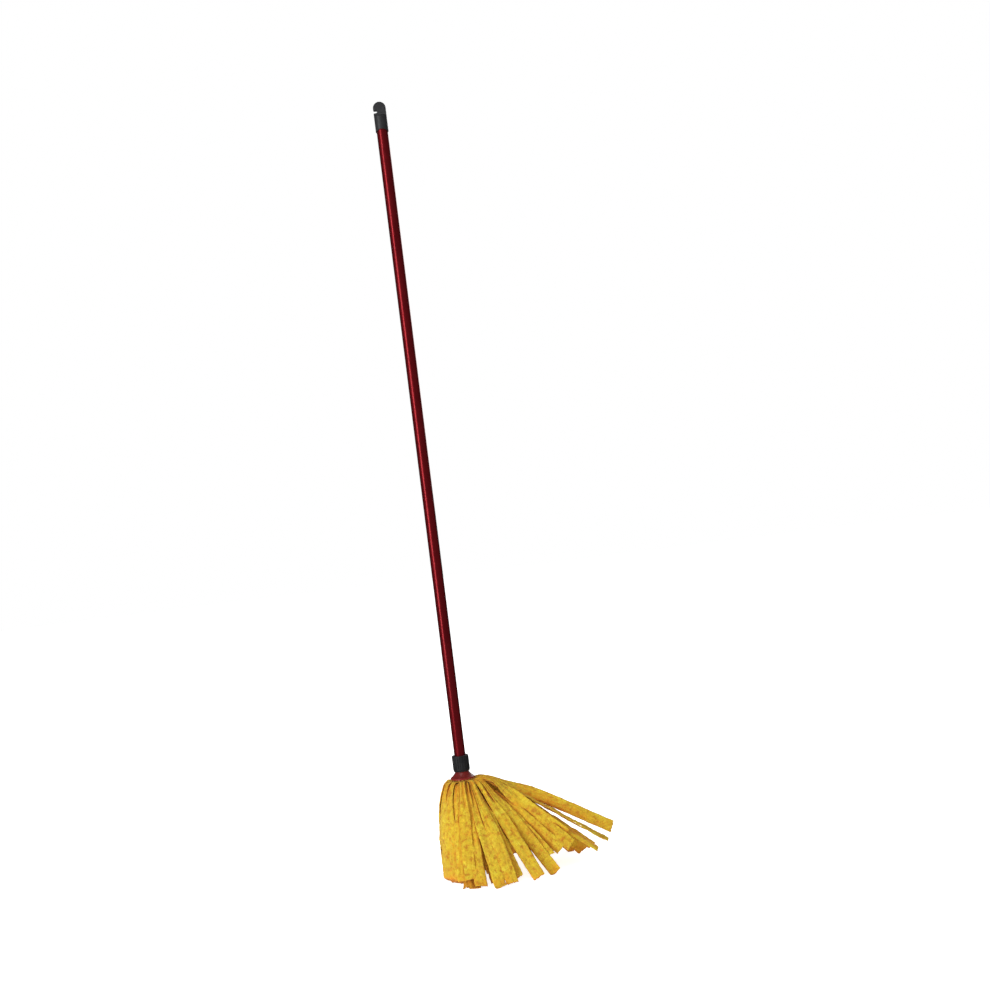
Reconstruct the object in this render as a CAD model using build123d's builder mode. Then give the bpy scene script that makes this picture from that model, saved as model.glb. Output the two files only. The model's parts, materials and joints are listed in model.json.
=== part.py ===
from build123d import *

import math
import os

# String mop: a coated steel handle with a hook cap, clamped in a bell-shaped socket by a ribbed
# nut, and a refill head of cloth strips sewn round a plastic core that pushes onto the socket.
# Millimetres, +Z up along the handle. The origin is on the floor under the handle's axis, and
# the mop stands on its strips, fanned out towards +X. -Y is the front.

# Driving dimensions
handle_length = 1300.0  # top of the hook cap to the bottom of the tube plug
tube_radius = 10.75
tube_wall = 0.5
nut_radius = 16.0
nut_height = 30.0
bell_radius = 23.0
hinge_radius = 31.0  # where the strips bend over the rim of the core
hinge_z = 178.0
thread_pitch = 4.0
bundle_count = 12

# Clearances
fit_gap = 0.05  # press fits and push fits, drawn just clear
slide_gap = 0.1  # parts that slide out of each other
thread_gap = 0.2
rest_gap = 0.3  # faces that rest on each other

# Heights, from the floor up
core_bottom_z = 168.0
core_top_z = 187.3
washer_thickness = 2.5
crown_top_z = core_top_z - washer_thickness - 0.2
bell_bottom_z = crown_top_z + rest_gap
seat_z = core_top_z + rest_gap  # the face inside the bell that stops on the core
neck_z = 199.0  # the bell narrows to the neck here
nut_bottom_z = neck_z + 1.0
nut_top_z = nut_bottom_z + nut_height
collet_top_z = 225.0
handle_bottom_z = 188.0
cap_top_z = handle_bottom_z + handle_length

# Radii of the parts that nest round the handle's lower end
socket_bore = tube_radius + slide_gap
neck_radius = 13.0
thread_depth = 1.3
nut_cavity = neck_radius + thread_depth + thread_gap
spigot_radius = 15.0
core_bore = spigot_radius + slide_gap
hub_radius = 17.2
washer_radius = 21.5
crown_radius = 25.0

os.makedirs("parts", exist_ok=True)


def save(builder, name):
    """Labels a finished piece and writes it as its own node."""
    builder.part.label = name
    export_step(builder.part, f"parts/{name}.step")


def radial_plane(azimuth, origin):
    """The upright plane at this origin whose X runs outwards at this azimuth and whose Y is up."""
    a = math.radians(azimuth)
    return Plane(
        origin=origin,
        x_dir=(math.cos(a), math.sin(a), 0),
        z_dir=(math.sin(a), -math.cos(a), 0),
    )


# ---------------------------------------------------------------- handle
plug_flange = 2.0
plug_stem = 24.0
cap_radius = 12.25
cap_height = 58.0
cap_cover = 26.0  # how far the cap's skirt reaches down over the tube
cap_bottom_z = cap_top_z - cap_height
tube_bottom_z = handle_bottom_z + plug_flange
tube_top_z = cap_bottom_z + cap_cover

with BuildPart() as handle_tube:
    with BuildSketch(Plane.XY.offset(tube_bottom_z)):
        Circle(tube_radius)
        Circle(tube_radius - tube_wall, mode=Mode.SUBTRACT)
    extrude(amount=tube_top_z - tube_bottom_z)
    chamfer(handle_tube.edges().filter_by(GeomType.CIRCLE), length=0.2)
save(handle_tube, "handle_tube")

# A cup-shaped plug stops the tube's lower end from crushing and from filling with water.
stem_radius = tube_radius - tube_wall - fit_gap
plug_wall = 2.0
with BuildPart() as tube_plug:
    with BuildSketch(Plane.XZ):
        with BuildLine():
            Polyline(
                (0, handle_bottom_z),
                (tube_radius - 0.6, handle_bottom_z),
                (tube_radius, handle_bottom_z + 0.6),
                (tube_radius, tube_bottom_z - fit_gap),
                (stem_radius, tube_bottom_z - fit_gap),
                (stem_radius, tube_bottom_z + plug_stem - 1.5),
                (stem_radius - 1.0, tube_bottom_z + plug_stem),
                (stem_radius - plug_wall, tube_bottom_z + plug_stem),
                (stem_radius - plug_wall, tube_bottom_z + plug_wall),
                (0, tube_bottom_z + plug_wall),
                close=True,
            )
        make_face()
    revolve(axis=Axis.Z)
save(tube_plug, "tube_plug")

# The hook cap: a round skirt over the tube, a domed head flattened to a blade, and a
# round-ended notch in its -X side that hangs on a peg or rail.
blade_thickness = 13.0
notch_radius = 3.0
notch_depth = 7.6
notch_below_top = 19.4
scallop_rise = 4.0
scallop_radius = 16.0
notch_z = cap_top_z - notch_below_top
blade_bottom_z = notch_z - 9.0
with BuildPart() as hanger_cap:
    with BuildSketch(Plane.XZ):
        with BuildLine():
            Line((0, cap_top_z), (0, cap_bottom_z))
            Line((0, cap_bottom_z), (cap_radius, cap_bottom_z))
            Line((cap_radius, cap_bottom_z), (cap_radius, cap_top_z - cap_radius))
            RadiusArc((cap_radius, cap_top_z - cap_radius), (0, cap_top_z), -cap_radius)
        make_face()
    revolve(axis=Axis.Z)
    # blind bore for the tube
    with BuildSketch(Plane.XY.offset(cap_bottom_z)):
        Circle(tube_radius + fit_gap)
    extrude(amount=cap_cover + fit_gap, mode=Mode.SUBTRACT)
    # both sides cut away to leave the blade, with a round run-out at the foot
    with BuildSketch(Plane.YZ) as side_cut:
        with Locations((blade_thickness / 2 + 10, blade_bottom_z + 30)):
            Rectangle(20, 60)
        with Locations((-blade_thickness / 2 - 10, blade_bottom_z + 30)):
            Rectangle(20, 60)
        fillet(side_cut.vertices().group_by(Axis.Y)[0], radius=5)
    extrude(amount=cap_radius + 1, both=True, mode=Mode.SUBTRACT)
    # the hanging notch, through the blade
    with BuildSketch(Plane.XZ):
        with Locations((-cap_radius - notch_radius, notch_z)):
            Rectangle(notch_depth * 2, notch_radius * 2)
        with Locations((-cap_radius - notch_radius + notch_depth, notch_z)):
            Circle(notch_radius)
    extrude(amount=cap_radius + 1, both=True, mode=Mode.SUBTRACT)
    # the skirt's lower edge arches up at the front and back
    with BuildSketch(Plane.XZ):
        with Locations((0, cap_bottom_z + scallop_rise - scallop_radius)):
            Circle(scallop_radius)
    extrude(amount=cap_radius + 1, both=True, mode=Mode.SUBTRACT)
save(hanger_cap, "hanger_cap")

# ---------------------------------------------------------------- handle clamp
ridge_root_width = 2.4
ridge_crest_width = 1.4
ridge_overlap = 0.3  # how far a thread ridge is sunk into the wall that carries it
socket_thread_z = 203.5
socket_thread_turns = 2.25
nut_thread_z = socket_thread_z - thread_pitch / 2
nut_thread_turns = 3


def thread_ridge(path, root, crest):
    """The trapezium of one thread ridge, drawn across the start of its helix, from root radius to crest radius."""
    inward = root > crest
    sunk_root = root + ridge_overlap if inward else root - ridge_overlap
    start = path @ 0
    with BuildSketch(Plane(origin=start, x_dir=(1, 0, 0), z_dir=path % 0)) as ridge:
        with BuildLine():
            Polyline(
                (sunk_root - start.X, -ridge_root_width / 2),
                (crest - start.X, -ridge_crest_width / 2),
                (crest - start.X, ridge_crest_width / 2),
                (sunk_root - start.X, ridge_root_width / 2),
                close=True,
            )
        make_face()
    return ridge.sketch


# The socket: one moulding with a slotted collet round the tube, a coarse thread, the bell
# that covers the refill's core, and a spigot that pushes into the core.
ledge_z = handle_bottom_z - slide_gap
ledge_thickness = 3.0
drain_radius = 8.5
spigot_wall = 2.5
spigot_bottom_z = 167.5
collet_taper_z = 219.0
collet_tip_radius = 12.0
slot_width = 2.0
slot_bottom_z = 215.0
rim_height = 3.5
flare_radius = 30.0
with BuildPart() as socket:
    with BuildSketch(Plane.XZ):
        with BuildLine():
            Polyline(
                (bell_radius, bell_bottom_z + rim_height),
                (bell_radius, bell_bottom_z),
                (washer_radius + slide_gap, bell_bottom_z),
                (washer_radius + slide_gap, seat_z),
                (washer_radius - 1.5, seat_z),
                (spigot_radius + 2.5, seat_z + 3.0),
                (spigot_radius + 2.5, seat_z),
                (spigot_radius, seat_z),
                (spigot_radius, spigot_bottom_z + 1.5),
                (spigot_radius - 0.8, spigot_bottom_z),
                (spigot_radius - spigot_wall, spigot_bottom_z),
                (spigot_radius - spigot_wall, ledge_z - ledge_thickness),
                (drain_radius, ledge_z - ledge_thickness),
                (drain_radius, ledge_z),
                (socket_bore, ledge_z),
                (socket_bore, collet_top_z),
                (collet_tip_radius, collet_top_z),
                (neck_radius, collet_taper_z),
                (neck_radius, neck_z),
            )
            RadiusArc((neck_radius, neck_z), (bell_radius, bell_bottom_z + rim_height), -flare_radius)
        make_face()
    revolve(axis=Axis.Z)
    with BuildLine(mode=Mode.PRIVATE) as socket_helix:
        Helix(
            pitch=thread_pitch,
            height=thread_pitch * socket_thread_turns,
            radius=neck_radius,
            center=(0, 0, socket_thread_z),
        )
    sweep(
        thread_ridge(socket_helix.line, neck_radius, neck_radius + thread_depth),
        path=socket_helix.line,
        is_frenet=True,
    )
    with Locations((0, 0, slot_bottom_z)):
        with PolarLocations(0, 2, angular_range=180):
            Box(
                2 * nut_radius,
                slot_width,
                collet_top_z,
                align=(Align.CENTER, Align.CENTER, Align.MIN),
                mode=Mode.SUBTRACT,
            )
save(socket, "socket")

# The clamp ring: pushed down by the nut, its cone squeezes the collet onto the tube. Two keys
# in the collet's slots let it slide but not turn.
ring_bottom_z = 218.2
ring_top_z = 225.6
ring_outer = nut_cavity - slide_gap
cone_gap = 0.15
key_inner = tube_radius + 0.3
key_width = slot_width - 2 * thread_gap
with BuildPart() as clamp_ring:
    with BuildSketch(Plane.XZ):
        with BuildLine():
            Polyline(
                (neck_radius + cone_gap, ring_bottom_z),
                (ring_outer, ring_bottom_z),
                (ring_outer, ring_top_z),
                (collet_tip_radius + cone_gap, ring_top_z),
                (collet_tip_radius + cone_gap, collet_top_z),
                (neck_radius + cone_gap, collet_taper_z),
                close=True,
            )
        make_face()
    revolve(axis=Axis.Z)
    key_middle = (key_inner + neck_radius) / 2 + cone_gap
    with Locations((0, 0, collet_taper_z)):
        with PolarLocations(key_middle, 2):
            Box(
                neck_radius - key_inner,
                key_width,
                ring_top_z - collet_taper_z,
                align=(Align.CENTER, Align.CENTER, Align.MIN),
            )
save(clamp_ring, "clamp_ring")

# The clamp nut: a fluted sleeve with an inside thread, closed at the top round the tube.
nut_hole = tube_radius + 0.55
nut_roof_z = ring_top_z + rest_gap
flute_count = 20
flute_radius = 1.2
flute_depth = 0.6
with BuildPart() as clamp_nut:
    with BuildSketch(Plane.XZ):
        with BuildLine():
            Polyline(
                (nut_cavity, nut_bottom_z),
                (nut_radius - 1.0, nut_bottom_z),
                (nut_radius, nut_bottom_z + 3.5),
                (nut_radius, nut_top_z - 0.8),
                (nut_radius - 0.8, nut_top_z),
                (nut_hole, nut_top_z),
                (nut_hole, nut_roof_z),
                (nut_cavity, nut_roof_z),
                close=True,
            )
        make_face()
    revolve(axis=Axis.Z)
    with BuildLine(mode=Mode.PRIVATE) as nut_helix:
        Helix(
            pitch=thread_pitch,
            height=thread_pitch * nut_thread_turns,
            radius=nut_cavity,
            center=(0, 0, nut_thread_z),
        )
    sweep(
        thread_ridge(nut_helix.line, nut_cavity, neck_radius + thread_gap),
        path=nut_helix.line,
        is_frenet=True,
    )
    with BuildSketch(Plane.XY.offset(nut_bottom_z + 4.5)):
        with PolarLocations(nut_radius - flute_depth + flute_radius, flute_count):
            Circle(flute_radius)
    extrude(amount=nut_height - 7.0, mode=Mode.SUBTRACT)
save(clamp_nut, "clamp_nut")

# ---------------------------------------------------------------- refill head
flange_thickness = 2.5
crown_bottom_z = core_bottom_z + flange_thickness + 0.2

# The core: a flanged bush that the strips are threaded on and that takes the socket's spigot.
flange_radius = crown_radius - 0.5
with BuildPart() as core_ring:
    with BuildSketch(Plane.XZ) as core_profile:
        with BuildLine():
            Polyline(
                (core_bore + 0.6, core_bottom_z),
                (flange_radius, core_bottom_z),
                (flange_radius, core_bottom_z + flange_thickness),
                (hub_radius, core_bottom_z + flange_thickness),
                (hub_radius, core_top_z),
                (core_bore + 0.6, core_top_z),
                (core_bore, core_top_z - 0.6),
                (core_bore, core_bottom_z + 0.6),
                close=True,
            )
        make_face()
        fillet(core_profile.vertices().group_by(Axis.X)[-1], radius=1.0)
    revolve(axis=Axis.Z)
save(core_ring, "core_ring")

# The washer: pressed on the core's hub, it holds the middle of the strips down.
with BuildPart() as core_washer:
    with BuildSketch(Plane.XY.offset(core_top_z - washer_thickness)):
        Circle(washer_radius)
        Circle(hub_radius + fit_gap, mode=Mode.SUBTRACT)
    extrude(amount=washer_thickness)
    fillet(core_washer.edges().filter_by(GeomType.CIRCLE).sort_by(SortBy.RADIUS)[-1], radius=0.8)
save(core_washer, "core_washer")

# The crown: the stacked and sewn middle of all the strips.
with BuildPart() as strip_crown:
    with BuildSketch(Plane.XY.offset(crown_bottom_z)):
        Circle(crown_radius)
        Circle(hub_radius + 0.2, mode=Mode.SUBTRACT)
    extrude(amount=crown_top_z - crown_bottom_z)
save(strip_crown, "strip_crown")

# The seam: a ring of separate stitches through the crown, showing round the bell's rim.
stitch_count = 24
stitch_length = 3.6
stitch_radius = 0.5
seam_radius = crown_radius - 0.8
with BuildPart() as crown_seam:
    with Locations((0, 0, crown_top_z + stitch_radius + fit_gap)):
        with PolarLocations(seam_radius, stitch_count):
            Cylinder(stitch_radius, stitch_length, rotation=(90, 0, 0))
save(crown_seam, "crown_seam")

# The inner strips: the tails that hang straight down under the core.
inner_top_z = 164.0
inner_top_radius = 17.0
inner_foot_radius = 31.0
inner_foot_z = 20.0
with BuildPart() as inner_strips:
    with BuildSketch(Plane.XZ):
        with BuildLine():
            Polyline(
                (0, 0),
                (inner_foot_radius, 0),
                (inner_foot_radius, inner_foot_z),
                (inner_top_radius, inner_top_z),
                (0, inner_top_z),
                close=True,
            )
        make_face()
    revolve(axis=Axis.Z)
save(inner_strips, "inner_strips")

# The outer strips, in twelve bundles round the core, each bending on its hinge line at the rim
# of the core. Eleven stand on the floor, given as azimuth: (outer, inner) radius of the foot.
# The one at azimuth 0 sticks out into the air, given by the corners of its tip.
floor_gap = 1.0
feet = {
    30: (232.0, 150.0),
    60: (180.0, 118.0),
    90: (134.0, 88.0),
    120: (94.0, 58.0),
    150: (62.0, 38.0),
    180: (54.0, 32.0),
    210: (60.0, 36.0),
    240: (80.0, 50.0),
    270: (122.0, 80.0),
    300: (152.0, 98.0),
    330: (188.0, 122.0),
}
ends = {
    azimuth: (Vector(outer, floor_gap), Vector(inner, floor_gap))
    for azimuth, (outer, inner) in feet.items()
}
ends[0] = (Vector(280.0, 58.0), Vector(222.0, 20.0))
inward_swing = {0: 4.0}  # room for the raised bundle to swing down; the others are at the floor
root_half = 4.5
waist_at = 0.35  # where along a bundle its bow is widest
outer_bow = 11.0
inner_bow = 5.0
wedge_half_angle = 180.0 / bundle_count - 0.3
wedge_apex = 9.0  # narrows the bundles near the hinge, where swinging up brings them inwards
wedge_reach = 2 * ends[0][0].X


def bundle_outline(outer_end, inner_end):
    """The side view of a bundle from its hinge line at (0, 0), bowed outwards, down to its two end corners."""
    along = ((outer_end + inner_end) / 2).normalized()
    out = Vector(-along.Y, along.X)
    outer_root = out * root_half
    inner_root = out * -root_half
    outer_waist = outer_root + (outer_end - outer_root) * waist_at + out * outer_bow
    inner_waist = inner_root + (inner_end - inner_root) * waist_at + out * inner_bow
    with BuildSketch() as outline:
        with BuildLine():
            Spline(outer_root, outer_waist, outer_end)
            Line(outer_end, inner_end)
            Spline(inner_end, inner_waist, inner_root)
            ThreePointArc(inner_root, along * -root_half, outer_root)
        make_face()
    return outline.sketch


def on_radius(radius, azimuth):
    """The point at this radius and azimuth on the floor."""
    a = math.radians(azimuth)
    return (radius * math.cos(a), radius * math.sin(a))


# Each bundle is cut to its own 30 degree wedge of the head at the inward end of its swing, and
# then swung out to where it rests, so that it never crosses into the next wedge.
for azimuth, (outer_end, inner_end) in ends.items():
    swing = inward_swing.get(azimuth, 0.0)
    hinge = Vector(*on_radius(hinge_radius, azimuth), hinge_z)
    hinge_plane = radial_plane(azimuth, hinge)
    hinge_offset = Vector(hinge_radius, hinge_z)
    with BuildPart() as strip_bundle:
        with BuildSketch(hinge_plane):
            outline = bundle_outline(outer_end - hinge_offset, inner_end - hinge_offset)
            add(outline.rotate(Axis.Z, -swing))
        extrude(amount=outer_end.X, both=True)
        with BuildSketch(Plane.XY):
            Polygon(
                on_radius(wedge_apex, azimuth),
                on_radius(wedge_reach, azimuth - wedge_half_angle),
                on_radius(wedge_reach, azimuth + wedge_half_angle),
                align=None,
            )
        extrude(amount=hinge_z + 2 * root_half, mode=Mode.INTERSECT)
        swung_out = strip_bundle.part.rotate(Axis(hinge, hinge_plane.z_dir), swing)
        add(swung_out, mode=Mode.REPLACE)
    save(strip_bundle, f"strip_bundle_{azimuth:03d}")
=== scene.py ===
"""The looks of the string mop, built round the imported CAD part.

Lengths are in metres. The cloth tails are laid out from the CAD bundles: the frame gives each
bundle's hinge and the two corners of its end, and five to seven tails run out between them, each
at a level of its own in the crown.
"""

import json
import math
import random

import bpy
import numpy as np
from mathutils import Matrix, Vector, noise


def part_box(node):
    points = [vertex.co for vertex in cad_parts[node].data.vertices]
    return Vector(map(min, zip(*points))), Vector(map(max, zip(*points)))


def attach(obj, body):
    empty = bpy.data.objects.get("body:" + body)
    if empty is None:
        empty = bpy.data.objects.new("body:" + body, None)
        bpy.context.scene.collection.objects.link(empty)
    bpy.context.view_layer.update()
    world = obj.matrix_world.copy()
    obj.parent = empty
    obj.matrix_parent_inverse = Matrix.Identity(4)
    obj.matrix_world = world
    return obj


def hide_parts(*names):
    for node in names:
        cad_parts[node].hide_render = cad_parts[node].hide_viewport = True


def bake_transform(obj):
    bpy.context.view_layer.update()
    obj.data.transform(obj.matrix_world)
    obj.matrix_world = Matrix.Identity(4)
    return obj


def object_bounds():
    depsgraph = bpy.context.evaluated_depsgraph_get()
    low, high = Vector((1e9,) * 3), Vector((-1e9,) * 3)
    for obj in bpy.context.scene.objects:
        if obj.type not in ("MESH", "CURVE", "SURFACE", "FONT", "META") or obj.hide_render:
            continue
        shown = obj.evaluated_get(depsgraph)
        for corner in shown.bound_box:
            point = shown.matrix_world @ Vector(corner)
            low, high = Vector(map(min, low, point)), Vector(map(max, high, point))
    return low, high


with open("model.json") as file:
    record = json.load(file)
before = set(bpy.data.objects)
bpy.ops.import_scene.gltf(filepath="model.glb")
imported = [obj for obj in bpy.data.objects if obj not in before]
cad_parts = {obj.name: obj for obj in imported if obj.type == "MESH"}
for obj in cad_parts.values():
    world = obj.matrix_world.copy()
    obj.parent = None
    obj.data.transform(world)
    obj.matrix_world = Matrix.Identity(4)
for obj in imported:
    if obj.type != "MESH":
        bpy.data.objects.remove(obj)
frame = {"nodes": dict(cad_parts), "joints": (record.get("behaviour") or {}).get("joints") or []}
cad_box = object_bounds()
rng = random.Random(11)
MM = 0.001
FLOOR_GLOW = 0.6  # the light that the floor gives the mop
FLOOR_SEEN = 0.8  # the light that it shows the camera

# ---------------------------------------------------------------- shaders


class Shader:
    """A material's node tree, with short calls for the nodes that the materials here share."""

    def __init__(self, name):
        self.material = bpy.data.materials.new(name)
        self.material.use_nodes = True
        self.tree = self.material.node_tree
        self.surface = self.tree.nodes["Principled BSDF"]

    def put(self, node, socket, value):
        """Links a socket to another node's output, or sets its value."""
        if isinstance(value, bpy.types.NodeSocket):
            self.tree.links.new(value, node.inputs[socket])
        else:
            node.inputs[socket].default_value = value

    def node(self, kind, inputs=None, **settings):
        made = self.tree.nodes.new(kind)
        for name, value in settings.items():
            setattr(made, name, value)
        for socket, value in (inputs or {}).items():
            self.put(made, socket, value)
        return made

    def finish(self, **values):
        """Sets the surface's sockets, named with underscores for spaces, and returns the material."""
        for name, value in values.items():
            self.put(self.surface, name.replace("_", " "), value)
        return self.material

    def place(self, output="Object"):
        return self.node("ShaderNodeTexCoord").outputs[output]

    def stretched(self, vector, scale):
        return self.node("ShaderNodeMapping", {"Vector": vector, "Scale": scale}).outputs[0]

    def noise(self, vector, scale, detail=3.0, roughness=0.55, distortion=0.0):
        inputs = {
            "Vector": vector,
            "Scale": scale,
            "Detail": detail,
            "Roughness": roughness,
            "Distortion": distortion,
        }
        return self.node("ShaderNodeTexNoise", inputs).outputs[0]

    def cells(self, vector, scale, feature="F1"):
        made = self.node("ShaderNodeTexVoronoi", {"Vector": vector, "Scale": scale}, feature=feature)
        return made.outputs["Distance"]

    def spread(self, value, low, high, to_low=0.0, to_high=1.0):
        """Maps low..high to to_low..to_high, clamped."""
        inputs = {0: value, 1: low, 2: high, 3: to_low, 4: to_high}
        return self.node("ShaderNodeMapRange", inputs).outputs[0]

    def maths(self, operation, a, b=0.0):
        return self.node("ShaderNodeMath", {0: a, 1: b}, operation=operation).outputs[0]

    def mix(self, share, a, b, blend="MIX"):
        inputs = {0: share, 6: a, 7: b}
        made = self.node("ShaderNodeMix", inputs, data_type="RGBA", blend_type=blend)
        return made.outputs[2]

    def bump(self, height, distance, strength=1.0, below=None):
        inputs = {"Height": height, "Distance": distance, "Strength": strength}
        if below is not None:
            inputs["Normal"] = below
        return self.node("ShaderNodeBump", inputs).outputs[0]


def cloth_material(name, light, deep, shadow):
    """Yellow non-woven cloth: fibres, dimples, creases and mottled dye, with painted shade in the valleys of
    its creases, dimples and fibres, and painted warm to dark shade in its hollows.
    """
    s = Shader(name)
    along = s.node("ShaderNodeUVMap", uv_map="tail").outputs[0]
    where = s.place()
    tint = s.node("ShaderNodeAttribute", attribute_name="tint").outputs["Fac"]
    blotches = s.noise(where, 45.0, detail=4.0)
    mottle = s.noise(where, 130.0, detail=4.0, roughness=0.65)
    soil = s.noise(where, 14.0, detail=5.0, roughness=0.65)
    rust = s.noise(where, 55.0, detail=5.0, roughness=0.75)
    fibres = s.noise(s.stretched(along, (1.0, 0.35, 1.0)), 1400.0, detail=4.0, distortion=0.6)
    dimples = s.cells(along, 380.0)
    creases = s.noise(s.stretched(along, (1.0, 0.12, 1.0)), 300.0, detail=3.0)
    crumples = s.noise(along, 140.0, detail=4.0, roughness=0.65)
    # An orange for random patches and for the painted warm shade in the hollows.
    orange_patch_and_shade_colour = (0.68, 0.25, 0.016, 1)
    lemon_colour = (0.64, 0.55, 0.045, 1)

    colour = s.mix(s.spread(tint, 0.0, 1.0), deep, light)
    colour = s.mix(s.spread(blotches, 0.36, 0.68, 0.0, 0.55), colour, deep)
    colour = s.mix(s.spread(rust, 0.34, 0.46, 0.8, 0.0), colour, lemon_colour)
    colour = s.mix(s.spread(rust, 0.54, 0.66, 0.0, 0.6), colour, orange_patch_and_shade_colour)
    colour = s.mix(s.spread(mottle, 0.34, 0.49, 0.75, 0.0), colour, shadow)
    colour = s.mix(s.spread(mottle, 0.55, 0.70, 0.0, 0.5), colour, tuple(min(1.0, 1.25 * c) for c in light))
    colour = s.mix(s.spread(soil, 0.52, 0.76, 0.0, 0.28), colour, (0.36, 0.27, 0.05, 1))
    # Painted shade: the valleys of the creases, dimples and fibres are darkened towards the shadow colour.
    colour = s.mix(s.spread(creases, 0.34, 0.48, 0.15, 0.0), colour, shadow)
    colour = s.mix(s.spread(dimples, 0.0, 0.35, 0.3, 0.0), colour, shadow)
    colour = s.mix(s.spread(fibres, 0.30, 0.46, 0.25, 0.0), colour, shadow)
    # Painted shade: the hollows, found by ambient occlusion, turn orange, then shadow-coloured, then darker
    # still in the deepest ones.
    hollow = s.node("ShaderNodeAmbientOcclusion", {"Distance": 0.03}, samples=8).outputs["AO"]
    colour = s.mix(s.spread(hollow, 0.45, 0.96, 0.9, 0.0), colour, orange_patch_and_shade_colour)
    colour = s.mix(s.spread(hollow, 0.15, 0.66, 0.9, 0.0), colour, shadow)
    colour = s.mix(s.spread(hollow, 0.02, 0.30, 0.8, 0.0), colour, tuple(0.3 * c for c in shadow[:3]) + (1,))

    normal = s.bump(crumples, 3.5 * MM, 0.9)
    normal = s.bump(creases, 1.5 * MM, 0.7, normal)
    normal = s.bump(dimples, 0.5 * MM, 0.5, normal)
    normal = s.bump(fibres, 0.25 * MM, 0.8, normal)
    return s.finish(
        Base_Color=colour,
        Roughness=s.spread(fibres, 0.3, 0.7, 0.95, 0.8),
        Normal=normal,
        Sheen_Weight=0.15,
        Sheen_Roughness=0.6,
        Sheen_Tint=(1.0, 0.85, 0.35, 1),
        Specular_IOR_Level=0.15,
    )


def coated_tube_material():
    """Dark red plastic coating drawn over a steel tube: glossy, faintly rippled, rubbed and scuffed, with
    painted shade darkening its sides as they turn from the view.
    """
    s = Shader("red_tube_coating")
    where = s.place()
    lengthways = s.stretched(where, (1.0, 1.0, 0.03))
    ripple = s.noise(s.stretched(where, (1.0, 1.0, 0.25)), 120.0, detail=2.0)
    streaks = s.noise(lengthways, 520.0, detail=3.0)
    scuffs = s.noise(s.stretched(where, (1.0, 1.0, 0.35)), 210.0, detail=6.0, roughness=0.75)
    worn = s.noise(where, 14.0, detail=3.0)
    grain = s.noise(where, 2600.0, detail=2.0)
    colour = s.mix(s.spread(worn, 0.35, 0.7), (0.125, 0.0055, 0.008, 1), (0.155, 0.007, 0.010, 1))
    colour = s.mix(s.spread(streaks, 0.45, 0.75, 0.0, 0.25), colour, (0.05, 0.002, 0.004, 1))
    colour = s.mix(s.spread(scuffs, 0.66, 0.74, 0.0, 0.2), colour, (0.25, 0.06, 0.06, 1))
    # Painted shade: the colour darkens towards near black where the tube's surface turns from the view.
    painted_side_shade = s.node("ShaderNodeLayerWeight", {"Blend": 0.5}).outputs["Facing"]
    colour = s.mix(s.spread(painted_side_shade, 0.25, 0.85, 0.0, 0.9), colour, (0.018, 0.001, 0.002, 1))
    roughness = s.maths("ADD", s.spread(scuffs, 0.5, 0.75, 0.26, 0.45), s.spread(worn, 0.4, 0.8, 0.0, 0.1))
    normal = s.bump(ripple, 0.25 * MM, 0.35)
    normal = s.bump(grain, 0.02 * MM, 0.5, normal)
    return s.finish(
        Base_Color=colour,
        Metallic=0.7,
        Roughness=roughness,
        Normal=normal,
        Specular_IOR_Level=0.2,
        Specular_Tint=(0.7, 0.15, 0.15, 1),
        Coat_Weight=0.08,
        Coat_Roughness=0.15,
    )


def moulded_material(name, dark, light, roughness, grain_scale):
    """Moulded plastic: a fine spark-eroded grain, slight mottling and paler rubbed edges."""
    s = Shader(name)
    where = s.place()
    grain = s.noise(where, grain_scale, detail=3.0)
    pits = s.cells(where, grain_scale * 0.6)
    mottle = s.noise(where, 60.0, detail=4.0)
    rubbed = s.node("ShaderNodeNewGeometry").outputs["Pointiness"]
    colour = s.mix(s.spread(mottle, 0.35, 0.7), dark, light)
    colour = s.mix(s.spread(rubbed, 0.52, 0.60, 0.0, 0.35), colour, tuple(min(1, 2.5 * c) for c in light))
    softened = s.node("ShaderNodeBevel", {"Radius": 0.8 * MM}, samples=6).outputs[0]
    normal = s.bump(mottle, 0.12 * MM, 0.3, softened)
    normal = s.bump(pits, 0.05 * MM, 0.4, normal)
    normal = s.bump(grain, 0.04 * MM, 0.6, normal)
    return s.finish(
        Base_Color=colour,
        Roughness=s.spread(grain, 0.3, 0.7, roughness - 0.07, roughness + 0.1),
        Normal=normal,
        Specular_IOR_Level=0.32,
    )


def thread_material():
    """Twisted sewing thread."""
    s = Shader("sewing_thread")
    where = s.place()
    twist = s.node("ShaderNodeTexWave", {"Vector": where, "Scale": 700.0, "Distortion": 2.0}).outputs[1]
    colour = s.mix(twist, (0.40, 0.22, 0.02, 1), (0.60, 0.40, 0.05, 1))
    return s.finish(Base_Color=colour, Roughness=0.8, Normal=s.bump(twist, 0.15 * MM, 0.8))


def floor_material():
    """A white sweep lit from within, which the glossy parts see as dim, like the rest of the studio."""
    s = Shader("studio_floor")
    speck = s.noise(s.place(), 4.0, detail=2.0)
    path = s.node("ShaderNodeLightPath")
    reflected = path.outputs["Is Glossy Ray"]
    glow = s.spread(path.outputs["Is Camera Ray"], 0.0, 1.0, FLOOR_GLOW, FLOOR_SEEN)
    colour = s.mix(speck, (0.86, 0.86, 0.86, 1), (0.88, 0.88, 0.88, 1))
    colour = s.mix(reflected, colour, (0.10, 0.10, 0.10, 1))
    return s.finish(
        Base_Color=colour,
        Roughness=0.9,
        Specular_IOR_Level=0.1,
        Emission_Color=(1, 1, 1, 1),
        Emission_Strength=s.maths("MULTIPLY", glow, s.spread(reflected, 0.0, 1.0, 1.0, 0.1)),
    )


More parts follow.
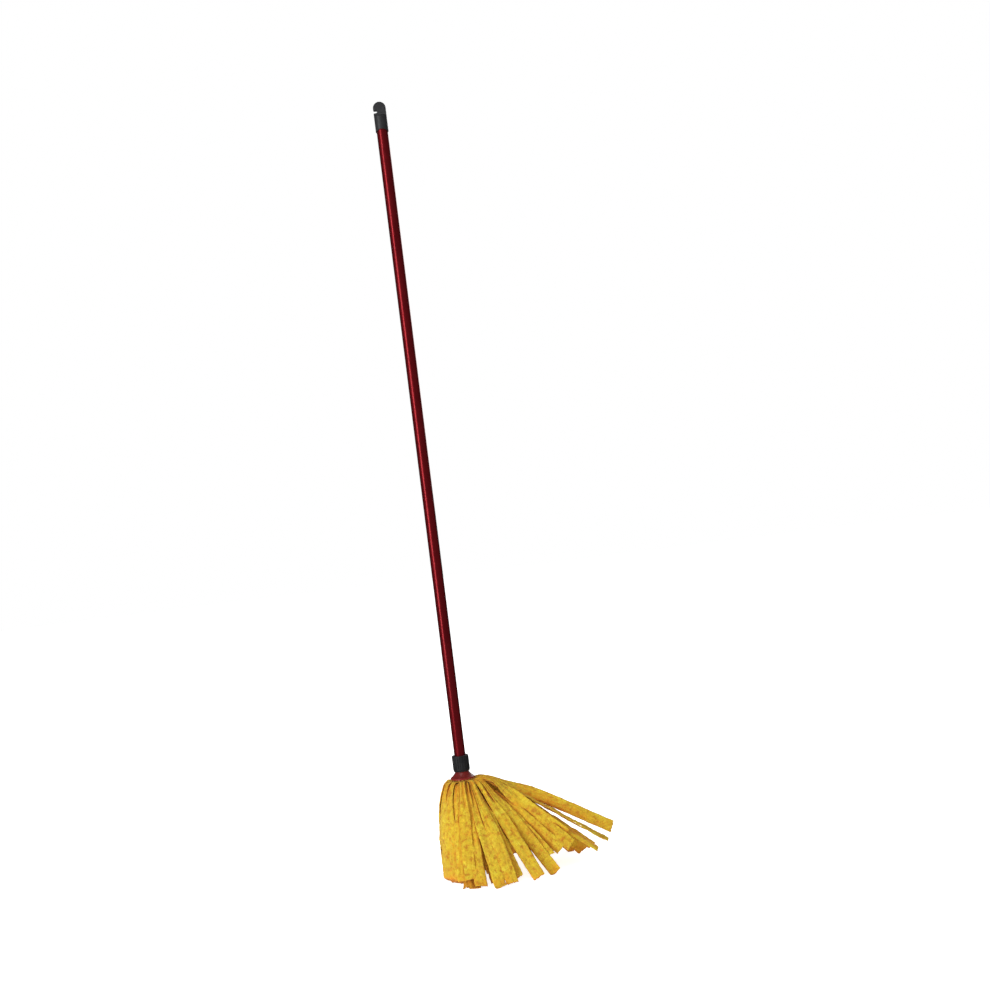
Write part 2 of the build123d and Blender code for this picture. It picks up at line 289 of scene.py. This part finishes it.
# ---------------------------------------------------------------- where the cloth goes
TAIL_WIDTH = 23.0 * MM
TAIL_THICKNESS = 1.5 * MM
LAYERS = 5
LAP = 0.7 * MM  # one edge of a tail stands proud of the next tail and the other edge is tucked under
FLOOR_GAP = 0.4 * MM
FLOOR_Z = TAIL_THICKNESS / 2 + FLOOR_GAP
STEP = 2.5 * MM  # along a tail
COLUMNS = 15  # points across a tail

# How uneven a tail's face, edges and end are.
CRUMPLE = 2.6 * MM
CREASE = 1.1 * MM
BUCKLE = 1.8 * MM
FINE = 0.45 * MM
RAGGED = 0.06  # of its width
FRAY = 1.6 * MM

# How bundles differ, by the radius of the outer corner of their end.
HANGS_WITHIN = 75 * MM
FANS_BEYOND = 115 * MM
SPREADS_FROM = 150 * MM
SPREADS_FULLY = 270 * MM

# The radius of a tail's bend over the crown's edge, in millimetres, and how much more it is in a
# fully spread bundle.
TOP_BEND = (12.5, 32)
FLAT_RUN = 14 * MM  # how far a fully spread tail lies flat before it bends
SMALLEST_BEND = 2 * MM

# The foot that a hanging tail tucks in under itself: its size in the outermost layer, in
# millimetres or degrees, and how much less it is in each layer below.
TUCK_RADIUS = (12.0, 1.5)
TUCK_RUN = (18.0, 2.0)
HANGING_SAG = (19, 2.5)
CURL_RADIUS = 9 * MM  # of a fanned tail's end that turns outwards on the floor
OUTERMOST_WIDTH = 1.35  # of a hanging bundle's outermost tail, against the rest

# Where a bundle's tails end, outermost layer first: degrees from the bundle's middle, how far out,
# from the inner to the outer corner of the bundle's end, the height of the end in millimetres, and
# how far the face turns to the front or back of the fan.
HANGING = (
    (0.0, 0.84, 0, 0.0),
    (8.0, 0.74, 0, 0.0),
    (-8.0, 0.55, 0, 0.0),
    (5.0, 0.33, 0, 0.0),
    (-5.0, 0.1, 0, 0.0),
)
FANNED = (
    (0.0, 0.92, 1, 0.8),
    (10.0, 0.84, 3, 0.8),
    (-10.0, 0.8, 0, 0.8),
    (5.0, 0.45, 4, 0.8),
    (-5.0, 0.2, 2, 0.8),
)
PLANNED = {
    0: (
        (0.0, 0.88, 57, 0.9),
        (-5.0, 0.70, 40, 0.0),
        (4.0, 0.60, 30, 0.1),
        (-9.0, 0.34, 26, 0.15),
        (9.0, 0.20, 16, 0.5),
        (-14.0, -0.43, 44, 0.95),
        (-12.0, -0.60, 62, 0.9),
    ),
    30: (
        (-2.0, 0.90, 2, 0.8),
        (-13.0, 0.90, 4, 0.9),
        (13.0, 0.60, 3, 0.8),
        (-8.0, 0.82, 1, 0.9),
        (8.0, 0.62, 5, 0.8),
        (3.0, 0.45, 2, 0.8),
    ),
    210: (
        (3.0, 0.84, 0, 0.0),
        (-9.0, 0.68, 0, 0.0),
        (9.0, 0.55, 0, 0.0),
        (5.0, 0.33, 0, 0.0),
        (-5.0, 0.1, 0, 0.0),
    ),
    240: (
        (-11.0, 0.60, 0, 0.0),
        (9.0, 0.76, 0, 0.0),
        (-4.0, 0.55, 0, 0.0),
        (5.0, 0.33, 0, 0.0),
        (-5.0, 0.1, 0, 0.0),
    ),
    270: (
        (-3.0, 0.68, 15, 0.2),
        (9.0, 0.84, 2, 0.5),
        (-12.0, 0.50, 11, 0.0),
        (3.0, 0.52, 0, 0.2),
        (-6.0, 0.34, 0, 0.0),
        (-1.0, 0.25, 0, 0.3),
    ),
    300: (
        (1.0, 0.78, 2, 0.8),
        (8.0, 0.60, 5, 0.9),
        (-10.0, 0.58, 0, 0.6),
        (4.0, 0.25, 3, 0.8),
        (-5.0, 0.05, 2, 0.6),
    ),
    330: (
        (3.0, 0.79, 2, 0.85),
        (-8.5, 0.58, 3, 0.85),
        (12.0, 0.85, 38, 0.95),
        (7.0, 0.60, 32, 0.95),
        (-5.0, 0.36, 2, 0.8),
        (0.0, 0.26, 3, 0.8),
    ),
}

BROAD = {240: 1.95}  # bundles whose outermost tail is wider than OUTERMOST_WIDTH
WASHER_OVERLAP = 3.5 * MM  # how far the crown's layers reach in under the washer
BESIDE_CROWN = 1.0 * MM  # how far inside the crown's edge a tail starts

crown_low, crown_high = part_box("strip_crown")
crown_edge = crown_high.x
crown_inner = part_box("core_washer")[1].x - WASHER_OVERLAP
layer_gap = (crown_high.z - crown_low.z) / LAYERS
layer_levels = [crown_high.z - layer_gap * (i + 0.5) for i in range(LAYERS)]
layer_levels += [(a + b) / 2 for a, b in zip(layer_levels, layer_levels[1:])]


def smooth(x, low=0.0, high=1.0):
    t = min(1.0, max(0.0, (x - low) / (high - low)))
    return t * t * (3 - 2 * t)


def bundle_of(joint):
    """A CAD bundle's azimuth, its hinge, and the outer and inner corners of its end.

    The hinge and the corners are (radius, height) in the bundle's own upright plane.
    """
    x, y, height = joint["pos_m"]
    azimuth = math.atan2(y, x)
    hinge_radius = math.hypot(x, y)
    node = frame["nodes"][joint["name"].replace("strips_", "strip_bundle_").replace("_swing", "")]
    co = np.array([v.co for v in node.data.vertices], float).reshape(-1, 3)
    radius = co[:, 0] * math.cos(azimuth) + co[:, 1] * math.sin(azimuth)
    outer = int(np.argmax(radius))
    low = co[:, 2] < co[:, 2].min() + 0.5 * MM
    inner = int(np.argmin(np.where(low, radius, 1e9)))
    return {
        "node": node.name,
        "body": joint["child"],
        "azimuth": azimuth,
        "hinge": (hinge_radius, height),
        "outer": (float(radius[outer]), float(co[outer, 2])),
        "inner": (float(radius[inner]), float(co[inner, 2])),
    }


bundles = [bundle_of(j) for j in frame["joints"] if j["name"].startswith("strips_")]


def aimed_lean(level, start, bend_radius, target):
    """The lean from straight down at which a tail runs straight to its target after its bend."""
    lean = 0.5
    for _ in range(12):
        radius = start + bend_radius * math.cos(lean)
        height = level - bend_radius * (1 - math.sin(lean))
        lean = math.atan2(target[0] - radius, height - target[1])
    straight = math.hypot(target[0] - radius, height - target[1])
    return lean, straight


def centreline(level, start, bend_radius, lean, straight, sag, foot):
    """A tail's side view as rows of (radius, height, lean): flat out of the crown, over the bend, and down.

    foot is (direction, fold radius, run): at the floor the tail turns outwards (+1) or inwards (-1)
    and runs on that far. Near the tip of a tail with no foot it only curls a little.
    """
    turn, fold_radius, run = foot
    arc = bend_radius * (math.pi / 2 - lean)
    length = (start - crown_edge) + arc + straight + run
    count = max(8, int(round(length / STEP)))
    step = length / count
    radius, height, angle = crown_edge - BESIDE_CROWN, level, math.pi / 2
    rows = []
    folding = False
    for i in range(count + 1):
        rows.append((radius, height, angle))
        after_bend = i * step - (start - crown_edge) - arc
        needed = fold_radius * (1 - turn * math.sin(angle))
        if turn and after_bend > 0 and (folding or height - FLOOR_Z <= needed):
            folding = True
            angle += turn * step / fold_radius
            angle = max(-math.pi / 2, min(math.pi / 2, angle))
        elif radius >= start and after_bend < 0:
            angle = max(lean + sag, angle - step / bend_radius)
        elif after_bend > 0:
            angle = lean + sag * (4 * (1 - min(1.0, after_bend / straight)) ** 3 - 1) / 3
        radius += step * math.sin(angle)
        height = max(FLOOR_Z, height - step * math.cos(angle))
    return rows


def facing_roll(azimuth, lean):
    """The roll about a tail's length that turns its face to the nearer side of the fan, front or back."""
    side = -1.0 if math.sin(azimuth) <= 0 else 1.0
    return math.atan2(-side * math.cos(azimuth), side * math.sin(azimuth) * math.cos(lean))


def tail(azimuth, rows, width, looks):
    """The closed mesh of one tail as (points, faces, uvs), from its side view.

    looks holds its sideways drift, the roll of its face, how it is pleated at the core and opens
    out further along, its cup, the skew of its end, and a seed.
    """
    outward = np.array((math.cos(azimuth), math.sin(azimuth), 0.0))
    sideways = np.array((-math.sin(azimuth), math.cos(azimuth), 0.0))
    up = np.array((0.0, 0.0, 1.0))
    seed = looks["seed"]
    phase = seed * 2.4
    last = len(rows) - 1
    across = np.linspace(-1.0, 1.0, COLUMNS)
    edge = 1 - 0.5 * np.abs(across) ** 12
    ripple = np.cos(across * math.pi * looks["pleats"] + phase)
    top, bottom, uvs = [], [], []
    for i, (radius, height, angle) in enumerate(rows):
        t = i / last
        opened = smooth(i * STEP, 12 * MM, looks["opens"])
        w = width * (looks["waist"] + (1 - looks["waist"]) * opened)
        free = smooth(t, 0.12, 0.6)
        risen = smooth(radius - crown_edge, 0.5 * MM, 6 * MM)
        lateral = looks["drift"] * free * t + 2.0 * MM * free * math.sin(4.0 * t + phase)
        centre = outward * radius + sideways * lateral + up * height
        normal = outward * math.cos(angle) + up * math.sin(angle)
        along = outward * math.sin(angle) - up * math.cos(angle)
        roll = looks["roll"] * smooth(t, 0.08, 0.55) + 0.09 * free * math.sin(6.0 * t + 2 * phase)
        side = sideways * math.cos(roll) + normal * math.sin(roll)
        face = normal * math.cos(roll) - sideways * math.sin(roll)
        lift = -looks["cup"] * smooth(t, 0.1, 0.5) * across**2
        lift += LAP * (1 - opened) * risen * across
        lift += looks["fold"] * (1 - opened) * risen * ripple
        end_row = 1.0 if i == last else 0.0
        for c, v in enumerate(across):
            place = Vector((v * w * 20 + seed, t * 8.0 + seed, seed * 3.1))
            crumple = noise.noise(place) * CRUMPLE * (0.3 + 0.7 * free)
            ridge = Vector((v * w * 95 + seed, t * 5.0 - seed, seed * 1.7))
            crease = (1 - abs(noise.noise(ridge)) * 2.5) * CREASE * (0.4 + 0.6 * free)
            buckle = abs(noise.noise(Vector((v * 1.3 - seed, t * 26.0, seed)))) * BUCKLE * free
            fine = noise.noise(place * 6.0) * FINE
            ragged = 1 + RAGGED * noise.noise(Vector((t * 34, seed, 2.0 + 5 * math.copysign(1, v))))
            frayed = end_row * (looks["skew"] * v + FRAY * noise.noise(Vector((v * 5, seed, 7))))
            base = centre + side * (v * w / 2 * ragged) + along * frayed
            offset = lift[c] + (crumple + crease + buckle + fine) * risen
            thick = TAIL_THICKNESS / 2 * edge[c]
            for surface, sign in ((top, 1.0), (bottom, -1.0)):
                point = base + face * (offset + sign * thick)
                lowest = FLOOR_GAP + (TAIL_THICKNESS if sign * face[2] > 0 else 0.0)
                point[2] = max(point[2], lowest)
                surface.append(point)
            uvs.append((v * width / 2 + seed, i * STEP))
    points = np.array(top + bottom)
    n = len(top)
    faces = []
    for i in range(last):
        for c in range(COLUMNS - 1):
            a, b = i * COLUMNS + c, (i + 1) * COLUMNS + c
            faces.append((a, b, b + 1, a + 1))
            faces.append((n + a, n + a + 1, n + b + 1, n + b))
        a, b = i * COLUMNS, (i + 1) * COLUMNS
        faces.append((a, n + a, n + b, b))
        a, b = a + COLUMNS - 1, b + COLUMNS - 1
        faces.append((a, b, n + b, n + a))
    for c in range(COLUMNS - 1):
        faces.append((c, c + 1, n + c + 1, n + c))
        e = last * COLUMNS + c
        faces.append((e, n + e, n + e + 1, e + 1))
    return points, faces, uvs + uvs


def cloth_object(name, tails, material):
    """One object from several tails, with its UV map in metres and each tail's tint."""
    points, faces, uvs, tints = [], [], [], []
    for (tail_points, tail_faces, tail_uvs), tint in tails:
        base = len(points)
        points.extend(map(tuple, tail_points))
        faces.extend(tuple(base + k for k in face) for face in tail_faces)
        uvs.extend(tail_uvs)
        tints.extend([tint] * len(tail_uvs))
    mesh = bpy.data.meshes.new(name)
    mesh.from_pydata(points, [], faces)
    layer = mesh.uv_layers.new(name="tail")
    for loop in mesh.loops:
        layer.data[loop.index].uv = uvs[loop.vertex_index]
    attribute = mesh.attributes.new("tint", "FLOAT", "POINT")
    attribute.data.foreach_set("value", tints)
    mesh.shade_smooth()
    mesh.validate()
    obj = bpy.data.objects.new(name, mesh)
    bpy.context.scene.collection.objects.link(obj)
    mesh.materials.append(material)
    return obj


def fan_tails(bundle):
    """The tails of one bundle, outermost layer first."""
    hanging = 1 - smooth(bundle["outer"][0], HANGS_WITHIN, FANS_BEYOND)
    spread = smooth(bundle["outer"][0], SPREADS_FROM, SPREADS_FULLY)
    bend_start = crown_edge + FLAT_RUN * spread
    top_bend = (TOP_BEND[0] + TOP_BEND[1] * spread) * MM
    degrees = round(math.degrees(bundle["azimuth"])) % 360
    plan = PLANNED.get(degrees, HANGING if hanging > 0.5 else FANNED)
    made = []
    for i, (offset, q, end_height, facing) in enumerate(plan):
        level = layer_levels[i]
        target = [a + (b - a) * q for a, b in zip(bundle["inner"], bundle["outer"])]
        target[1] = FLOOR_Z + end_height * MM
        azimuth = bundle["azimuth"] + math.radians(offset + rng.uniform(-1, 1))
        bend_radius = max(SMALLEST_BEND, top_bend - (layer_levels[0] - level))
        width = TAIL_WIDTH * rng.uniform(0.94, 1.04)
        sag = math.radians(rng.uniform(0.0, 5.0))
        cup = rng.uniform(-0.5, 2.6) * MM
        foot = (0, 1.0, 0.0)
        if hanging > 0.5:
            fold_radius, run = (first - less * i for first, less in (TUCK_RADIUS, TUCK_RUN))
            foot = (-1, fold_radius * MM, run * MM)
            sag = math.radians(HANGING_SAG[0] - HANGING_SAG[1] * i)
            if i == 0:
                width *= BROAD.get(degrees, OUTERMOST_WIDTH)
                cup = width**2 / (8 * target[0])
        elif end_height == 0:
            foot = (1, CURL_RADIUS, rng.uniform(4, 11) * MM)
        lean, straight = aimed_lean(level, bend_start, bend_radius, target)
        rows = centreline(level, bend_start, bend_radius, lean, straight, sag, foot)
        looseness = 1 - 0.7 * hanging
        looks = {
            "drift": rng.uniform(-4, 4) * MM * looseness,
            "roll": facing_roll(azimuth, lean) * facing + math.radians(rng.uniform(-10, 10)) * looseness,
            "cup": cup,
            "pleats": rng.choice((1.5, 2.0, 2.6)),
            "opens": rng.uniform(80, 130) * MM,
            "waist": rng.uniform(0.42, 0.55),
            "fold": rng.uniform(1.2, 2.0) * MM,
            "skew": rng.uniform(-2.5, 2.5) * MM,
            "seed": rng.uniform(0, 50),
        }
        made.append((tail(azimuth, rows, width, looks), rng.random()))
    return made


# The rings of tails under the core: the share of the CAD solid's radius, the tails, the first's azimuth.
INNER_RINGS = ((0.30, 5, 0.0), (0.62, 8, 0.4), (0.90, 11, 0.2))
INNER_TOP_RADIUS = 16.0 * MM


def inner_tails():
    """The tails that hang inside, under the core, down to the floor."""
    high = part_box("inner_strips")[1]
    made = []
    for share, count, phase in INNER_RINGS:
        for k in range(count):
            azimuth = 2 * math.pi * k / count + phase + rng.uniform(-0.05, 0.05)
            foot_radius = high.x * share
            top_radius = INNER_TOP_RADIUS * share
            height = high.z - 1 * MM
            lean = math.atan2(foot_radius - top_radius, height)
            rows = []
            count_rows = int(height / STEP)
            for i in range(count_rows + 1):
                t = i / count_rows
                radius = top_radius + (foot_radius - top_radius) * t
                rows.append((radius, height + (FLOOR_Z - height) * t, lean))
            looks = {
                "drift": 0.0,
                "roll": 0.0,
                "cup": 0.5 * MM,
                "pleats": 2.0,
                "opens": 120 * MM,
                "waist": 0.7,
                "fold": 0.4 * MM,
                "skew": 0.0,
                "seed": rng.uniform(0, 50),
            }
            width = min(TAIL_WIDTH, 2 * math.pi * foot_radius / count * 0.85)
            made.append((tail(azimuth, rows, width, looks), rng.random()))
    return made


PLEATS = 36  # round the crown
PLEAT_HEIGHT = 0.32 * MM
WAVE_HEIGHT = 0.15 * MM  # of the seven slower waves that the pleats ride on


def crown_pleats():
    """The sewn middles of the tails: flat rings of cloth, one a level, pleated towards the hub."""
    around = 240
    rows = 7
    radii = np.linspace(crown_inner, crown_edge, rows)
    made = []
    for level in layer_levels:
        phase = rng.uniform(0, 6.28)
        top, bottom, uvs = [], [], []
        for i, radius in enumerate(radii):
            ripple = PLEAT_HEIGHT * (1 - 0.4 * i / (rows - 1))
            thick = TAIL_THICKNESS / 2 * (0.6 if i in (0, rows - 1) else 1.0)
            for k in range(around):
                a = 2 * math.pi * k / around
                z = level + ripple * math.cos(PLEATS * a + phase) + WAVE_HEIGHT * math.sin(7 * a + phase)
                place = np.array((radius * math.cos(a), radius * math.sin(a), z))
                top.append(place + np.array((0, 0, thick)))
                bottom.append(place - np.array((0, 0, thick)))
                uvs.append((a * crown_edge, radius))
        n = len(top)
        faces = []
        for k in range(around):
            m = (k + 1) % around
            for i in range(rows - 1):
                a, b = i * around, (i + 1) * around
                faces.append((a + k, b + k, b + m, a + m))
                faces.append((n + a + k, n + a + m, n + b + m, n + b + k))
            e = (rows - 1) * around
            faces.append((e + k, n + e + k, n + e + m, e + m))
            faces.append((k, m, n + m, n + k))
        made.append(((np.array(top + bottom), faces, uvs + uvs), 0.6))
    return made


# ---------------------------------------------------------------- pieces and materials
yellow = cloth_material(
    "yellow_cloth",
    light=(0.62, 0.49, 0.028, 1),
    deep=(0.52, 0.34, 0.018, 1),
    shadow=(0.38, 0.105, 0.009, 1),
)
# A darker, more orange copy of the yellow cloth for the tails under the core: painted shade.
shaded = cloth_material(
    "inner_cloth",
    light=(0.62, 0.34, 0.015, 1),
    deep=(0.52, 0.22, 0.010, 1),
    shadow=(0.36, 0.09, 0.008, 1),
)

for bundle in bundles:
    name = bundle["node"].replace("strip_bundle", "strip_tails")
    cloth = cloth_object(name, fan_tails(bundle), yellow)
    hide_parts(bundle["node"])
    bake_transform(cloth)

inner = cloth_object("inner_tails", inner_tails(), shaded)
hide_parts("inner_strips")
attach(inner, "mop_head")

crown = cloth_object("crown_layers", crown_pleats(), yellow)
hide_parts("strip_crown")
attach(crown, "mop_head")

black_plastic = moulded_material(
    "black_moulded_plastic", (0.005, 0.005, 0.006, 1), (0.011, 0.011, 0.012, 1), 0.45, 2400.0
)
nut_plastic = moulded_material(
    "black_ribbed_plastic", (0.004, 0.004, 0.005, 1), (0.010, 0.010, 0.011, 1), 0.5, 1800.0
)
red_plastic = moulded_material(
    "red_moulded_plastic", (0.11, 0.006, 0.005, 1), (0.155, 0.010, 0.007, 1), 0.36, 3000.0
)
natural_plastic = moulded_material(
    "natural_moulded_plastic", (0.62, 0.60, 0.54, 1), (0.72, 0.70, 0.64, 1), 0.45, 2200.0
)
node_materials = {
    "handle_tube": coated_tube_material(),
    "hanger_cap": black_plastic,
    "tube_plug": black_plastic,
    "clamp_nut": nut_plastic,
    "clamp_ring": natural_plastic,
    "socket": red_plastic,
    "core_ring": natural_plastic,
    "core_washer": natural_plastic,
    "crown_seam": thread_material(),
}
for node_name, material in node_materials.items():
    node = frame["nodes"][node_name]
    node.data.materials.clear()
    node.data.materials.append(material)

# ---------------------------------------------------------------- studio
FLOOR_SIZE = 24.0
CAMERA_DISTANCE = 3.0
VIEW_WIDTH = 1.892  # seen across the frame at the handle's distance
LEAN_IN_FRAME = math.radians(7.1)
CAMERA_AIM = Vector((0.128, 0.0, 0.715))
SENSOR_WIDTH = 36.0
WORLD_LIGHT = 0.5
WORLD_REFLECTED = 0.12

floor_mesh = bpy.data.meshes.new("floor")
corners = [(x * FLOOR_SIZE / 2, y * FLOOR_SIZE / 2, 0.0) for x, y in ((-1, -1), (1, -1), (1, 1), (-1, 1))]
floor_mesh.from_pydata(corners, [], [(0, 1, 2, 3)])
floor = bpy.data.objects.new("floor", floor_mesh)
bpy.context.scene.collection.objects.link(floor)
floor_mesh.materials.append(floor_material())


def studio_world():
    """White to the camera, dimmer as a light, and dimmest in reflections, which keeps glossy parts dark."""
    world = bpy.data.worlds.new("studio")
    world.use_nodes = True
    tree = world.node_tree
    path = tree.nodes.new("ShaderNodeLightPath")
    glossy = tree.nodes.new("ShaderNodeMix")
    glossy.inputs["A"].default_value = WORLD_LIGHT
    glossy.inputs["B"].default_value = WORLD_REFLECTED
    tree.links.new(path.outputs["Is Glossy Ray"], glossy.inputs["Factor"])
    seen_white = tree.nodes.new("ShaderNodeMix")
    seen_white.inputs["B"].default_value = 1.0
    tree.links.new(path.outputs["Is Camera Ray"], seen_white.inputs["Factor"])
    tree.links.new(glossy.outputs["Result"], seen_white.inputs["A"])
    background = tree.nodes["Background"]
    background.inputs["Color"].default_value = (1.0, 1.0, 1.0, 1)
    tree.links.new(seen_white.outputs["Result"], background.inputs["Strength"])
    return world


bpy.context.scene.world = studio_world()


def soft_box(name, place, aim, width, height, watts, reflected=True):
    """An upright rectangular soft box at place, turned to face aim, that glossy parts may reflect."""
    light = bpy.data.lights.new(name, "AREA")
    light.shape = "RECTANGLE"
    light.size = width
    light.size_y = height
    light.energy = watts
    obj = bpy.data.objects.new(name, light)
    bpy.context.scene.collection.objects.link(obj)
    obj.visible_glossy = reflected
    obj.location = place
    obj.rotation_euler = (Vector(aim) - Vector(place)).to_track_quat("-Z", "Y").to_euler()


middle = (cad_box[0] + cad_box[1]) / 2
soft_box("key", (-1.7, -2.0, 1.15), (0.0, 0.0, 1.1), 0.8, 2.2, 52)
soft_box("top", (-0.6, -1.6, 3.0), middle, 1.4, 1.4, 22)
soft_box("fill", (2.2, -2.0, 1.4), middle, 1.4, 1.4, 8, reflected=False)
soft_box("back", (0.8, 2.6, 1.6), middle, 1.4, 1.8, 26)

camera_data = bpy.data.cameras.new("camera")
camera_data.sensor_width = SENSOR_WIDTH
camera_data.lens = SENSOR_WIDTH * CAMERA_DISTANCE / VIEW_WIDTH
camera = bpy.data.objects.new("camera", camera_data)
bpy.context.scene.collection.objects.link(camera)
camera.location = CAMERA_AIM - Vector((0, CAMERA_DISTANCE, 0))
camera.rotation_mode = "XYZ"
camera.rotation_euler = (math.pi / 2, LEAN_IN_FRAME, 0)
bpy.context.scene.camera = camera

scene = bpy.context.scene
scene.view_settings.view_transform = "Standard"
scene.cycles.use_denoising = True
